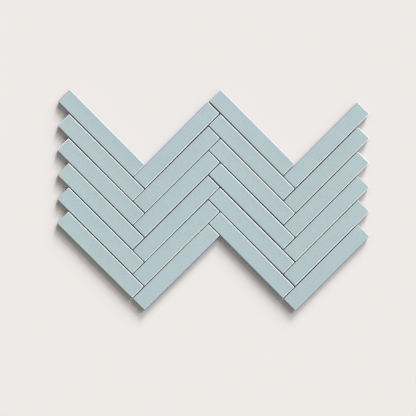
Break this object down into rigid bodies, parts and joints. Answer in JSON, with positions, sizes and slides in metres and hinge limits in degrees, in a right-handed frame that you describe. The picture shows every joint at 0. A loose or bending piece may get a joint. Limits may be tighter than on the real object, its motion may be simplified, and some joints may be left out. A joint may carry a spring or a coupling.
{
  "type": "herringbone mosaic tile",
  "caption": "Sheet of herringbone mosaic tile: pale blue-grey glazed ceramic sticks laid in zigzag columns on a net backing, for setting on a wall or floor.",
  "frame": {"origin": "middle of the sheet, on the level that its net lies on", "axes": "+X across the columns, +Y up the columns, +Z out of the glazed face"},
  "size_m": [0.4308, 0.3048, 0.0065],
  "materials": {
    "stick_glaze": "satin",
    "net_fibre": "matte"
  },
  "bodies": {
    "root": {"stick_a1": "stick_glaze", "stick_a2": "stick_glaze", "stick_a3": "stick_glaze", "stick_a4": "stick_glaze", "stick_a5": "stick_glaze", "stick_a6": "stick_glaze", "stick_b1": "stick_glaze", "stick_b2": "stick_glaze", "stick_b3": "stick_glaze", "stick_b4": "stick_glaze", "stick_b5": "stick_glaze", "stick_b6": "stick_glaze", "stick_c1": "stick_glaze", "stick_c2": "stick_glaze", "stick_c3": "stick_glaze", "stick_c4": "stick_glaze", "stick_c5": "stick_glaze", "stick_c6": "stick_glaze", "stick_d1": "stick_glaze", "stick_d2": "stick_glaze", "stick_d3": "stick_glaze", "stick_d4": "stick_glaze", "stick_d5": "stick_glaze", "stick_d6": "stick_glaze", "net_threads_up": "net_fibre", "net_threads_across": "net_fibre"}
  },
  "joints": []
}
